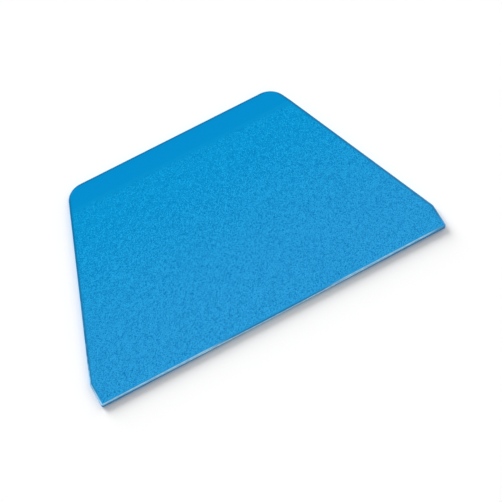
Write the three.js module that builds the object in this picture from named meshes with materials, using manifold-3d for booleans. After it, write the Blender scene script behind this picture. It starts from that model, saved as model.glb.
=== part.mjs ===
// Squeegee applicator: a one-piece moulded plastic card for pressing film flat.
// Millimetres, +Z up. The card lies on its flat underside, its long working edge
// faces -Y and its short tapered lip faces +Y. The origin is the middle of the
// underside's bounding rectangle.

import * as THREE from 'three';
import { mergeVertices } from 'three/addons/utils/BufferGeometryUtils.js';
import Module from 'manifold-3d';

// Driving dimensions.
const WORKING_EDGE = 150; // long edge, end to end
const LIP_EDGE = 92; // short edge, between the corners before they are rounded
const DEPTH = 87; // long edge to short edge
const END_FLAT = 10; // straight end beside the long edge, square to it
const THICKNESS = 2.2; // grained body
const LIP_THICKNESS = 1.2; // at the short edge
const LIP_BAND = 9; // width of the smooth tapered band
const LIP_RADIUS = 8; // corners at the short edge
const HIP_RADIUS = 2; // corners between an end flat and a slanted side
const TIP_RADIUS = 0.7; // corners at the long edge
const ARRIS = 0.4; // rounding of the edges between the faces and the rim
const ARRIS_STEPS = 3;
const ARC_STEP = Math.PI / 36; // largest turn between two points of a corner

// Colour and finish of the moulding compound.
const CARD_BLUE = 0x0a93d2;
const CARD_ROUGHNESS = 0.55;

// The unrounded corners, anticlockwise from the right end of the long edge.
function cardCorners() {
  const front = -DEPTH / 2;
  const back = DEPTH / 2;
  const wide = WORKING_EDGE / 2;
  const narrow = LIP_EDGE / 2;
  const rightSide = [
    { at: new THREE.Vector2(wide, front), radius: TIP_RADIUS },
    { at: new THREE.Vector2(wide, front + END_FLAT), radius: HIP_RADIUS },
    { at: new THREE.Vector2(narrow, back), radius: LIP_RADIUS },
  ];
  const mirrored = ({ at, radius }) => ({ at: new THREE.Vector2(-at.x, at.y), radius });
  return [...rightSide, ...rightSide.map(mirrored).reverse()];
}

// The points of one rounded corner, from the edge that arrives to the edge that leaves.
function roundedCorner(before, corner, after) {
  const arriving = corner.at.clone().sub(before.at).normalize();
  const leaving = after.at.clone().sub(corner.at).normalize();
  const turn = arriving.angleTo(leaving);
  const start = corner.at.clone().addScaledVector(arriving, -corner.radius * Math.tan(turn / 2));
  const inward = new THREE.Vector2(-arriving.y, arriving.x);
  const centre = start.addScaledVector(inward, corner.radius);
  const firstAngle = Math.atan2(-inward.y, -inward.x);
  const arc = new THREE.EllipseCurve(
    centre.x, centre.y, corner.radius, corner.radius, firstAngle, firstAngle + turn, false,
  );
  return arc.getPoints(Math.ceil(turn / ARC_STEP));
}

function cardOutline() {
  const corners = cardCorners();
  const count = corners.length;
  const points = corners.flatMap((corner, i) => {
    return roundedCorner(corners[(i + count - 1) % count], corner, corners[(i + 1) % count]);
  });
  return new THREE.Shape(points);
}

// The full-thickness blank, with both faces meeting the rim in a small rounding.
function cardBlank() {
  const blank = new THREE.ExtrudeGeometry(cardOutline(), {
    depth: THICKNESS - 2 * ARRIS,
    bevelEnabled: true,
    bevelSize: ARRIS,
    bevelThickness: ARRIS,
    bevelOffset: -ARRIS,
    bevelSegments: ARRIS_STEPS,
  });
  return blank.translate(0, 0, ARRIS);
}

// The wedge above the tapered band: its lower face is the band's sloping surface.
function bandWedge() {
  const clear = THICKNESS; // how far the wedge stands proud of the card
  const crease = DEPTH / 2 - LIP_BAND;
  const fall = (THICKNESS - LIP_THICKNESS) / LIP_BAND;
  const section = new THREE.Shape([
    new THREE.Vector2(crease, THICKNESS),
    new THREE.Vector2(crease + LIP_BAND + clear, LIP_THICKNESS - clear * fall),
    new THREE.Vector2(crease + LIP_BAND + clear, THICKNESS + clear),
    new THREE.Vector2(crease, THICKNESS + clear),
  ]);
  const length = WORKING_EDGE;
  const wedge = new THREE.ExtrudeGeometry(section, { depth: length, bevelEnabled: false });
  // The section's own x and y become Y and Z, and its depth runs along X.
  wedge.rotateX(Math.PI / 2).rotateZ(Math.PI / 2);
  return wedge.translate(-length / 2, 0, 0);
}

const wasm = await Module();
wasm.setup();

function toSolid(geometry) {
  geometry.deleteAttribute('normal');
  geometry.deleteAttribute('uv');
  const merged = mergeVertices(geometry);
  return new wasm.Manifold(new wasm.Mesh({
    numProp: 3,
    vertProperties: new Float32Array(merged.attributes.position.array),
    triVerts: new Uint32Array(merged.index.array),
  }));
}

function toGeometry(solid) {
  const { vertProperties, triVerts } = solid.getMesh();
  const geometry = new THREE.BufferGeometry();
  geometry.setAttribute('position', new THREE.BufferAttribute(vertProperties, 3));
  geometry.setIndex(new THREE.BufferAttribute(triVerts, 1));
  geometry.computeVertexNormals();
  return geometry;
}

function makeCard() {
  const solid = toSolid(cardBlank()).subtract(toSolid(bandWedge()));
  const material = new THREE.MeshStandardMaterial({
    color: CARD_BLUE,
    roughness: CARD_ROUGHNESS,
    metalness: 0,
  });
  const card = new THREE.Mesh(toGeometry(solid), material);
  card.name = 'applicator_card';
  return card;
}

const applicator = new THREE.Group();
applicator.add(makeCard());

export default applicator;
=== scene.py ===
# Squeegee applicator: a one-piece moulded card. This script makes its fine surface to the
# imported model's sizes: rounded arrises, the moulded grain, the smooth tapered lip, and the sheen,
# highlight and shade painted into its colour.

import math

import bpy
import numpy as np
from mathutils import Matrix, Vector, noise


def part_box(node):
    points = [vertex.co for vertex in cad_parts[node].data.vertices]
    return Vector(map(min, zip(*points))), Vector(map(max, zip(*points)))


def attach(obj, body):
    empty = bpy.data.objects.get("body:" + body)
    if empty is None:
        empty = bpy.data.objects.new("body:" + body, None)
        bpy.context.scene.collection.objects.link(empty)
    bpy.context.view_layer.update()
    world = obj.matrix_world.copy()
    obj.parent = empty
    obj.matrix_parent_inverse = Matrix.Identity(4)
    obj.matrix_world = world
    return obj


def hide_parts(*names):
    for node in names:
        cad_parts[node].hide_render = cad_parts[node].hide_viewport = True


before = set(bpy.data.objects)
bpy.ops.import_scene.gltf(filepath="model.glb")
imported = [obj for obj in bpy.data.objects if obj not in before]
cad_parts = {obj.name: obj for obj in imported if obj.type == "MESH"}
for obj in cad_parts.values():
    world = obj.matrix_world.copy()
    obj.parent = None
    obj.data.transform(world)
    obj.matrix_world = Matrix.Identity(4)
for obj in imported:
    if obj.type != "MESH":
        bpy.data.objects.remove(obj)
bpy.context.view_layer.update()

MM = 0.001

# ---------------------------------------------------------------- sizes of the card

CARD = "applicator_card"
card_low, card_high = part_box(CARD)
WIDE = card_high.x  # half the long working edge
FRONT = card_low.y  # the working edge
BACK = card_high.y  # the lip
THICK = card_high.z
LIP_HALF = 46 * MM  # half the short edge, before its corners are rounded
END_FLAT = 10 * MM  # straight end beside the working edge
LIP_BAND = 9 * MM  # width of the smooth tapered band
LIP_THICK = 1.2 * MM
CREASE = BACK - LIP_BAND
TAPER = (THICK - LIP_THICK) / LIP_BAND
TIP_RADIUS = 0.7 * MM  # corners at the working edge
HIP_RADIUS = 2 * MM  # corners between an end flat and a slanted side
LIP_RADIUS = 8 * MM  # corners at the lip
ARRIS = 0.4 * MM  # rounding between the top face and the rim
LOWER_ARRIS = 0.2 * MM  # rounding between the rim and the underside
BORDER = 0.2 * MM  # plain strip inside the rounding, before the face's own mesh

# The slanted side's outward direction, as an angle from +X.
SLANT = math.atan2(WIDE - LIP_HALF, BACK - FRONT - END_FLAT)

# Mesh density. Each count is a multiple of COARSE, so that the underside keeps every third point.
COARSE = 3
HALF_COLUMNS = 180
TIP_STEPS = 3
END_STEPS = 21
HIP_STEPS = 3
SIDE_STEPS = 153
CREASE_STEPS = 12
LIP_START_STEPS = 3
LIP_SIDE_STEPS = 6
LIP_CORNER_STEPS = 9
CREASE_ZONE = 1.6 * MM  # finer rows on the grained side of the crease
LIP_ZONE = 0.6 * MM  # finer rows on the lip's side of it
BODY_ROWS = TIP_STEPS + END_STEPS + HIP_STEPS + SIDE_STEPS + CREASE_STEPS
LIP_ROWS = LIP_START_STEPS + LIP_SIDE_STEPS + LIP_CORNER_STEPS
ROWS = BODY_ROWS + LIP_ROWS
COLUMNS = 2 * HALF_COLUMNS
PAINTED_ARRIS_SHADE = (1.0, 0.9, 0.6, 0.2, 0.0)  # painted shade on the arris, one value for each of its loops
ARRIS_LOOPS = len(PAINTED_ARRIS_SHADE)

# The moulded grain.
GRAIN_DEPTH = 0.07 * MM
GRAIN_SIZES = ((0.53 * MM, 0.5), (0.4 * MM, 0.5))  # (size of a grain, its share)
GRAIN_FADE = 2.5 * MM  # how far from the crease the grain reaches its full depth
GRAIN_MARGIN = 0.8 * MM  # how far from the border it does
FLECK_SIZE = 0.37 * MM  # the finest unevenness, in the material

# Highlight and shade painted on the rim.
HIGHLIGHT_LOW = 1.05 * MM  # height of the painted highlight band at the middle of the working edge
HIGHLIGHT_HALF = 72 * MM  # how far from the middle it has climbed to the arris
HIGHLIGHT_BAND = 0.85 * MM  # half its width
HIGHLIGHT_PATCH = 1.4 * MM  # size of the patches in it
HIGHLIGHT_TIP_FADE = (0.88 * WIDE, 0.97 * WIDE)  # where the working edge's painted highlight dies away on the right
TIP_TURN = (FRONT + 1.5 * MM, FRONT + 3 * MM)  # where its painted highlight gives way to that of the ends
ARRIS_SHADE_START = (FRONT + 2 * MM, FRONT + 6 * MM)  # where the painted shade on the arris begins


# ---------------------------------------------------------------- outline and mesh


def line(start, end, steps):
    """Points from start up to, but not including, end."""
    t = np.arange(steps)[:, None] / steps
    return np.array(start) * (1 - t) + np.array(end) * t


def arc(centre, radius, first, last, steps):
    """Points on an arc from angle first up to, but not including, angle last."""
    turn = first + (last - first) * np.arange(steps) / steps
    return np.array(centre) + radius * np.stack([np.cos(turn), np.sin(turn)], 1)


def on_arc(centre, radius, angle):
    return (centre[0] + radius * math.cos(angle), centre[1] + radius * math.sin(angle))


def on_side(hip_end, y):
    """The point of the slanted side at height y in plan."""
    return (hip_end[0] - (y - hip_end[1]) * math.tan(SLANT), y)


def right_half(inset):
    """Half of the inset outline, from the middle of the working edge to the middle of the lip."""
    tip = (WIDE - TIP_RADIUS, FRONT + TIP_RADIUS)
    hip = (WIDE - HIP_RADIUS, FRONT + END_FLAT - HIP_RADIUS * math.tan(SLANT / 2))
    lip_turn = math.pi / 2 - SLANT
    lip = (LIP_HALF - LIP_RADIUS * math.tan(lip_turn / 2), BACK - LIP_RADIUS)
    tip_r, hip_r, lip_r = TIP_RADIUS - inset, HIP_RADIUS - inset, LIP_RADIUS - inset
    hip_end = on_arc(hip, hip_r, SLANT)
    fine_start = on_side(hip_end, CREASE - CREASE_ZONE)
    crease = on_side(hip_end, CREASE)
    lip_start = on_side(hip_end, CREASE + LIP_ZONE)
    straight = HALF_COLUMNS - TIP_STEPS
    lip_straight = HALF_COLUMNS - LIP_CORNER_STEPS
    return np.concatenate(
        [
            line((0, FRONT + inset), on_arc(tip, tip_r, -math.pi / 2), straight),
            arc(tip, tip_r, -math.pi / 2, 0, 2 * TIP_STEPS),
            line(on_arc(tip, tip_r, 0), on_arc(hip, hip_r, 0), END_STEPS),
            arc(hip, hip_r, 0, SLANT, HIP_STEPS),
            line(hip_end, fine_start, SIDE_STEPS),
            line(fine_start, crease, CREASE_STEPS),
            line(crease, lip_start, LIP_START_STEPS),
            line(lip_start, on_arc(lip, lip_r, SLANT), LIP_SIDE_STEPS),
            arc(lip, lip_r, SLANT, math.pi / 2, 2 * LIP_CORNER_STEPS),
            line(on_arc(lip, lip_r, math.pi / 2), (0, BACK - inset), lip_straight),
            [(0, BACK - inset)],
        ]
    )


def outline(inset):
    """The closed outline, anticlockwise from the middle of the working edge."""
    half = right_half(inset)
    mirrored = half[-2:0:-1] * (-1, 1)
    return np.concatenate([half, mirrored])


def face_border(rows, columns):
    """(row, column) of each of a face's border points, in the outline's order."""
    middle = columns // 2
    right = [(0, c) for c in range(middle, columns)]
    right += [(r, columns) for r in range(rows)]
    back = [(rows, c) for c in range(columns, 0, -1)]
    left = [(r, 0) for r in range(rows, 0, -1)]
    front = [(0, c) for c in range(middle)]
    return right + back + left + front


def patch(bottom, top, left, right):
    """A grid of points spread smoothly between four border lines."""
    rows, columns = len(left), len(bottom)
    v = np.linspace(0, 1, rows)[:, None, None]
    u = np.linspace(0, 1, columns)[None, :, None]
    across = (1 - v) * bottom[None] + v * top[None]
    along = (1 - u) * left[:, None] + u * right[:, None]
    corners = (1 - v) * ((1 - u) * bottom[0] + u * bottom[-1])
    corners = corners + v * ((1 - u) * top[0] + u * top[-1])
    return across + along - corners


def face_plan():
    """The plan of one face: rows of points from the working edge to the lip."""
    border = np.zeros((ROWS + 1, COLUMNS + 1, 2))
    for (r, c), point in zip(face_border(ROWS, COLUMNS), outline(ARRIS + BORDER)):
        border[r, c] = point
    crease = np.linspace(border[BODY_ROWS, 0], border[BODY_ROWS, -1], COLUMNS + 1)
    left, right = border[:, 0], border[:, -1]
    body = patch(border[0], crease, left[: BODY_ROWS + 1], right[: BODY_ROWS + 1])
    lip = patch(crease, border[-1], left[BODY_ROWS:], right[BODY_ROWS:])
    return np.concatenate([body, lip[1:]])


def top_height(y):
    """Height of the top face before its grain: level, then falling across the lip."""
    return THICK - TAPER * np.maximum(y - CREASE, 0)


def smooth_step(low, high, x):
    t = np.clip((x - low) / (high - low), 0, 1)
    return t * t * (3 - 2 * t)


def gap_to_rim(x, y):
    """Distance in from the nearest side of the outline, in plan."""
    slanted = (WIDE - np.abs(x)) * math.cos(SLANT) - (y - FRONT - END_FLAT) * math.sin(SLANT)
    return np.minimum.reduce([y - FRONT, WIDE - np.abs(x), slanted, BACK - y])


def noise_at(x, y, size):
    """Smooth noise from about -1 to 1 with features of the given size."""
    level = 0.5  # a level slice through the noise, between two of its lattice planes
    return np.array([noise.noise(Vector((a, b, level))) for a, b in zip(x / size, y / size)])


def grain_at(x, y):
    """The moulded grain, from 0 in its valleys to 1 on its tops."""
    total = sum(share * noise_at(x, y, size) for size, share in GRAIN_SIZES)
    return np.clip(0.5 + 0.9 * total, 0, 1)


def grained_at(x, y):
    """Where the top face is grained: 0 at the border and on the lip, rising to 1."""
    border = ARRIS + BORDER
    inside = smooth_step(border, border + GRAIN_MARGIN, gap_to_rim(x, y))
    return inside * smooth_step(0.1 * GRAIN_FADE, GRAIN_FADE, CREASE - y)


def edge_highlight_at(x, y):
    """How strongly a highlight is painted on the rim, from 0 to 1: most along the working edge."""
    patchy = smooth_step(-0.25, 0.25, noise_at(x, y, HIGHLIGHT_PATCH))
    edge = (0.8 + 0.2 * patchy) * (1 - 0.08 * smooth_step(0, HIGHLIGHT_HALF, np.abs(x)))
    edge = edge * (1 - 0.7 * smooth_step(*HIGHLIGHT_TIP_FADE, x))
    end = 1 - smooth_step(FRONT + END_FLAT, FRONT + 2 * END_FLAT, y)
    near = 1 - smooth_step(FRONT + END_FLAT, FRONT + 6 * END_FLAT, y)
    side = near * patchy * np.where(x < 0, 0.2, 0.1) + end * np.where(x < 0, 0.5, 0.1)
    beside = smooth_step(*TIP_TURN, y)
    return edge * (1 - beside) + side * beside


def highlight_height(x, y):
    """Height of the painted highlight band on the rim: half way up in the middle, at the arris
    elsewhere.
    """
    outward = np.maximum(smooth_step(0, HIGHLIGHT_HALF, np.abs(x)), smooth_step(*TIP_TURN, y))
    return HIGHLIGHT_LOW * (1 - outward) + (top_height(y) + 0.75 * ARRIS) * outward


def grid_faces(rows, columns, first, upward):
    """Quads over a grid of points numbered row by row from first."""
    faces = []
    for r in range(rows):
        for a in range(first + r * (columns + 1), first + r * (columns + 1) + columns):
            b = a + columns + 1
            faces.append((a, a + 1, b + 1, b) if upward else (a, b, b + 1, a + 1))
    return faces


def loop_faces(above, below, step=1):
    """Faces between two closed loops of points, where below keeps one point in step."""
    size = len(above)
    faces = []
    for i in range(0, size, step):
        over = [above[(i + k) % size] for k in range(step, -1, -1)]
        under = [below[i // step], below[(i // step + 1) % len(below)]]
        faces.append((*over, *under))
    return faces


def rim_rings():
    """The rim's rings of points, from the top face's edge round to the underside's."""
    bend = np.linspace(0, math.pi / 2, ARRIS_LOOPS)
    rings = []
    for b in bend:
        ring = outline(ARRIS * (1 - math.sin(b)))
        rings.append(np.column_stack([ring, top_height(ring[:, 1]) - ARRIS * (1 - math.cos(b))]))
    for b in bend[::-1]:
        ring = outline(LOWER_ARRIS * (1 - math.sin(b)))
        rings.append(np.column_stack([ring, np.full(len(ring), LOWER_ARRIS * (1 - math.cos(b)))]))
    return rings


def card_faces(ring_count):
    """The mesh's faces. Its points are the top face's, then the rings', then the underside's."""
    rows, columns = ROWS // COARSE, COLUMNS // COARSE
    ring_size = 2 * (ROWS + COLUMNS)
    loops = [[r * (COLUMNS + 1) + c for r, c in face_border(ROWS, COLUMNS)]]
    first = (ROWS + 1) * (COLUMNS + 1)
    for _ in range(ring_count):
        loops.append(list(range(first, first + ring_size)))
        first += ring_size
    last = [first + r * (columns + 1) + c for r, c in face_border(rows, columns)]
    faces = grid_faces(ROWS, COLUMNS, 0, True) + grid_faces(rows, columns, first, False)
    for above, below in zip(loops, loops[1:]):
        faces += loop_faces(above, below)
    return faces + loop_faces(loops[-1], last, COARSE)


def add_layer(mesh, name, top, rim, under):
    """Values for the material to read, at the points of the top face, the rim and the underside."""
    layer = mesh.attributes.new(name, "FLOAT", "POINT")
    values = np.concatenate([top, rim, under])
    layer.data.foreach_set("value", values.astype(np.float32))


def add_shade_and_highlight_layers(mesh, top, rim, under):
    """Where painted shade darkens the arris and a painted highlight whitens the rim. The underside
    has neither.
    """
    x, y = top
    around_x, around_y = rim
    bare = np.zeros(len(under))
    strip = 1 - smooth_step(ARRIS, 3 * ARRIS, gap_to_rim(x, y))
    lower_shade = [0.0] * ARRIS_LOOPS
    ring_shade = np.repeat([*PAINTED_ARRIS_SHADE, *lower_shade], 2 * (ROWS + COLUMNS))
    strip = strip * smooth_step(*ARRIS_SHADE_START, y)
    ring_shade = ring_shade * smooth_step(*ARRIS_SHADE_START, around_y)
    add_layer(mesh, "arris", strip, ring_shade, bare)
    add_layer(mesh, "rim", np.zeros(len(x)), np.ones(len(around_x)), bare)
    add_layer(mesh, "painted_highlight", edge_highlight_at(x, y), edge_highlight_at(around_x, around_y), bare)
    add_layer(mesh, "highlight_height", highlight_height(x, y), highlight_height(around_x, around_y), bare)


def make_card():
    """The card as one closed mesh: grained top face, rim and underside."""
    plan = face_plan()
    x, y = plan.reshape(-1, 2).T
    grain = grain_at(x, y)
    grained = grained_at(x, y)
    top = np.column_stack([x, y, top_height(y) - GRAIN_DEPTH * (1 - grain) * grained])
    rings = rim_rings()
    rim = np.concatenate(rings)
    coarse = plan[::COARSE, ::COARSE].reshape(-1, 2)
    under = np.column_stack([coarse, np.zeros(len(coarse))])

    mesh = bpy.data.meshes.new("moulded_card")
    mesh.from_pydata(np.concatenate([top, rim, under]).tolist(), [], card_faces(len(rings)))
    mesh.update()
    mesh.shade_smooth()
    matt_under = smooth_step(ARRIS + BORDER, 3 * ARRIS, gap_to_rim(*coarse.T))
    add_layer(mesh, "grain", grain, np.ones(len(rim)), np.full(len(under), 0.5))
    add_layer(mesh, "field", grained, np.zeros(len(rim)), matt_under)
    add_shade_and_highlight_layers(mesh, (x, y), (rim[:, 0], rim[:, 1]), under)
    card = bpy.data.objects.new("moulded_card", mesh)
    bpy.context.scene.collection.objects.link(card)
    return card


# ---------------------------------------------------------------- shader recipes


class Field:
    """A value or colour that varies over a surface. Arithmetic on it adds Math nodes."""

    def __init__(self, finish, socket):
        self.finish = finish
        self.socket = socket

    def math(self, operation, first, second):
        return self.finish.node("ShaderNodeMath", {"operation": operation}, {0: first, 1: second})

    def __add__(self, other):
        return self.math("ADD", self, other)

    def __radd__(self, other):
        return self.math("ADD", other, self)

    def __sub__(self, other):
        return self.math("SUBTRACT", self, other)

    def __rsub__(self, other):
        return self.math("SUBTRACT", other, self)

    def __mul__(self, other):
        return self.math("MULTIPLY", self, other)

    def __rmul__(self, other):
        return self.math("MULTIPLY", other, self)

    def over(self, low, high):
        """0 below low, 1 above high and smooth between them."""
        sockets = {"Value": self, "From Min": low, "From Max": high, "To Min": 0.0, "To Max": 1.0}
        settings = {"interpolation_type": "SMOOTHSTEP"}
        return self.finish.node("ShaderNodeMapRange", settings, sockets)


class Finish:
    """The nodes of a material, or of the studio's air, under construction."""

    def __init__(self, owner):
        self.owner = owner
        owner.use_nodes = True
        self.tree = owner.node_tree
        self.tree.nodes.clear()

    def node(self, kind, settings=None, sockets=None, output=0):
        made = self.tree.nodes.new(kind)
        for name, value in (settings or {}).items():
            setattr(made, name, value)
        for name, value in (sockets or {}).items():
            if isinstance(value, Field):
                self.tree.links.new(value.socket, made.inputs[name])
            else:
                made.inputs[name].default_value = value
        return Field(self, made.outputs[output]) if made.outputs else None

    def attribute(self, name):
        return self.node("ShaderNodeAttribute", {"attribute_name": name}, output=2)

    def place(self, axis):
        where = self.node("ShaderNodeTexCoord", output=3)
        return self.node("ShaderNodeSeparateXYZ", None, {0: where}, output=axis)

    def cloud(self, size, detail=2.0, roughness=0.5):
        """Soft noise from 0 to 1 with features of the given size in metres."""
        where = self.node("ShaderNodeTexCoord", output=3)
        sockets = {"Vector": where, "Scale": 1 / size, "Detail": detail, "Roughness": roughness}
        return self.node("ShaderNodeTexNoise", None, sockets)

    def blend(self, factor, first, second):
        return self.node(
            "ShaderNodeMix", {"data_type": "RGBA"}, {0: factor, 6: first, 7: second}, output=2
        )

    def close(self, constants, varying):
        """The surface shader, with its fixed sockets and the ones that vary."""
        shader = self.node("ShaderNodeBsdfPrincipled", None, {**constants, **varying})
        self.node("ShaderNodeOutputMaterial", None, {"Surface": shader})
        return self.owner


def shade(red, green, blue):
    """A display colour, 0 to 255, as the linear colour that a shader takes."""
    parts = [c / 255 for c in (red, green, blue)]
    lin = [c / 12.92 if c <= 0.04045 else ((c + 0.055) / 1.055) ** 2.4 for c in parts]
    return (*lin, 1.0)


def moulded_blue():
    """Blue moulding compound: matt grained face and polished lip, with a sheen, a highlight and
    arris shade painted into the colour.
    """
    f = Finish(bpy.data.materials.new("moulded_blue"))
    y = f.place(1)
    field = f.attribute("field")
    matt = 1 - y.over(CREASE - GRAIN_FADE, CREASE)  # 1 on the body and 0 on the polished lip
    painted_sheen_front = 1 - y.over(FRONT, CREASE)  # 1 at the working edge, 0 at the crease: a paler, redder tone painted on towards the front as the key light's sheen on the face

    # The grain's tops are pale and its valleys deep, with a finer fleck on both: the grain's own
    # tone, with painted glints on the tops and painted shade in the valleys.
    fleck = f.cloud(FLECK_SIZE, 1.0) - 0.5
    uneven = (f.attribute("grain") - 0.5) + 3.2 * fleck
    speckle = 0.5 + uneven * (1 - 0.3 * y.over(0.0, CREASE))
    valley = f.blend(painted_sheen_front, shade(1, 121, 186), shade(9, 121, 186))
    hill = f.blend(painted_sheen_front, shade(5, 169, 228), shade(42, 169, 228))
    grained = f.blend(speckle, valley, hill)

    # Smooth skin: the rim and the border of the body, with the same painted sheen towards the
    # front, and the lip's deeper blue.
    body = f.blend(painted_sheen_front, shade(4, 144, 206), shade(30, 144, 206))
    lip = y.over(CREASE, CREASE + 0.1 * MM)
    plain = f.blend(lip, body, shade(1, 134, 195))
    colour = f.blend(field, plain, grained)

    # Painted shade darkens the arris, and a painted highlight whitens a band along the rim.
    colour = f.blend(0.7 * f.attribute("arris"), colour, shade(10, 86, 120))
    off = (f.place(2) - f.attribute("highlight_height")) * (1 / HIGHLIGHT_BAND)
    band = (1 - off * off).over(0.0, 0.7)
    highlighted = band * f.attribute("rim") * f.attribute("painted_highlight")
    colour = f.blend(highlighted, colour, shade(178, 230, 255))

    # The grained face is scuffed towards the working edge; the lip is polished.
    polished = 0.11
    scuffed = 0.25 - 0.2 * y.over(FRONT + 15 * MM, CREASE) + 0.26 * speckle
    roughness = polished + (scuffed - polished) * matt
    bump = f.node(
        "ShaderNodeBump", None, {"Strength": 0.5, "Distance": 0.02 * MM, "Height": fleck * field}
    )
    return f.close(
        {"Specular IOR Level": 0.3},
        {"Base Color": colour, "Roughness": roughness, "Normal": bump},
    )


def studio_white():
    f = Finish(bpy.data.materials.new("studio_white"))
    return f.close(
        {"Roughness": 0.9, "Specular IOR Level": 0.0, "Base Color": (0.95, 0.95, 0.95, 1.0)}, {}
    )


# ---------------------------------------------------------------- studio

KEY = (15, 23, 40)  # the key light's azimuth, elevation and spread, in degrees
AIR_SHARE = 0.33  # the air's part of the light that makes the floor full white
CAMERA_ANGLES = (-23.793, 66.171, -5.384)  # turn, rise and roll, in degrees
CAMERA_TARGET = Vector((4.451 * MM, -14.738 * MM, 0))
CAMERA_DISTANCE = 774.195 * MM
CAMERA_LENS = 143.4


def make_floor():
    mesh = bpy.data.meshes.new("studio_floor")
    reach = 40.0
    corners = [(-reach, -reach, 0), (reach, -reach, 0), (reach, reach, 0), (-reach, reach, 0)]
    mesh.from_pydata(corners, [], [(0, 1, 2, 3)])
    floor = bpy.data.objects.new("studio_floor", mesh)
    bpy.context.scene.collection.objects.link(floor)
    mesh.materials.append(studio_white())


def make_sun(name, turn, rise, spread, floor_share, glossy=False):
    """A soft distant light, seen in gloss or not, that gives the floor its share of full white.

    Its azimuth goes from +Y towards -X. The angles are in degrees.
    """
    a, e = math.radians(turn), math.radians(rise)
    towards = Vector((-math.sin(a) * math.cos(e), math.cos(a) * math.cos(e), math.sin(e)))
    lamp = bpy.data.lights.new(name, "SUN")
    lamp.energy = floor_share * math.pi / towards.z
    lamp.angle = math.radians(spread)
    sun = bpy.data.objects.new(name, lamp)
    sun.rotation_mode = "QUATERNION"
    sun.rotation_quaternion = towards.to_track_quat("Z", "Y")
    sun.visible_glossy = glossy
    bpy.context.scene.collection.objects.link(sun)


def make_air():
    """The room's own light: white to the eye, and in reflections pale walls and a dark ceiling."""
    world = bpy.data.worlds.new("studio_air")
    air = Finish(world)
    seen = air.node("ShaderNodeLightPath", output=0)
    mirrored = air.node("ShaderNodeLightPath", output=3)
    way = air.node("ShaderNodeTexCoord", output=0)
    up = air.node("ShaderNodeSeparateXYZ", None, {0: way}, output=2)
    ceiling, wall = 0.02, 0.42
    reflected = wall + (ceiling - wall) * up.over(0.2, 0.8)
    strength = AIR_SHARE + (1 - AIR_SHARE) * seen + (reflected - AIR_SHARE) * mirrored
    glow = air.node("ShaderNodeBackground", None, {"Color": (1, 1, 1, 1), "Strength": strength})
    air.node("ShaderNodeOutputWorld", None, {"Surface": glow})
    bpy.context.scene.world = world


def make_lights():
    make_air()
    make_sun("key_softbox", *KEY, 0.46)
    make_sun("key_glint", *KEY, 0.06, glossy=True)
    make_sun("side_softbox", -65, 34, 50, 0.18)
    make_sun("front_fill", 195, 13, 50, 0.03)


def make_camera():
    turn, rise, roll = [math.radians(angle) for angle in CAMERA_ANGLES]
    back = Vector(
        (math.sin(turn) * math.cos(rise), -math.cos(turn) * math.cos(rise), math.sin(rise))
    )
    level = Vector((math.cos(turn), math.sin(turn), 0))
    upright = back.cross(level)
    right = level * math.cos(roll) + upright * math.sin(roll)
    up = back.cross(right)
    lens = bpy.data.cameras.new("camera")
    lens.sensor_width = 36
    lens.lens = CAMERA_LENS
    camera = bpy.data.objects.new("camera", lens)
    axes = Matrix((right, up, back)).transposed().to_4x4()
    camera.matrix_world = Matrix.Translation(CAMERA_TARGET + back * CAMERA_DISTANCE) @ axes
    bpy.context.scene.collection.objects.link(camera)
    bpy.context.scene.camera = camera


# ---------------------------------------------------------------- assembly

make_camera()
card = make_card()
card.data.materials.append(moulded_blue())
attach(card, "root")
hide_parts(CARD)
make_floor()
make_lights()
bpy.context.scene.view_settings.view_transform = "Standard"
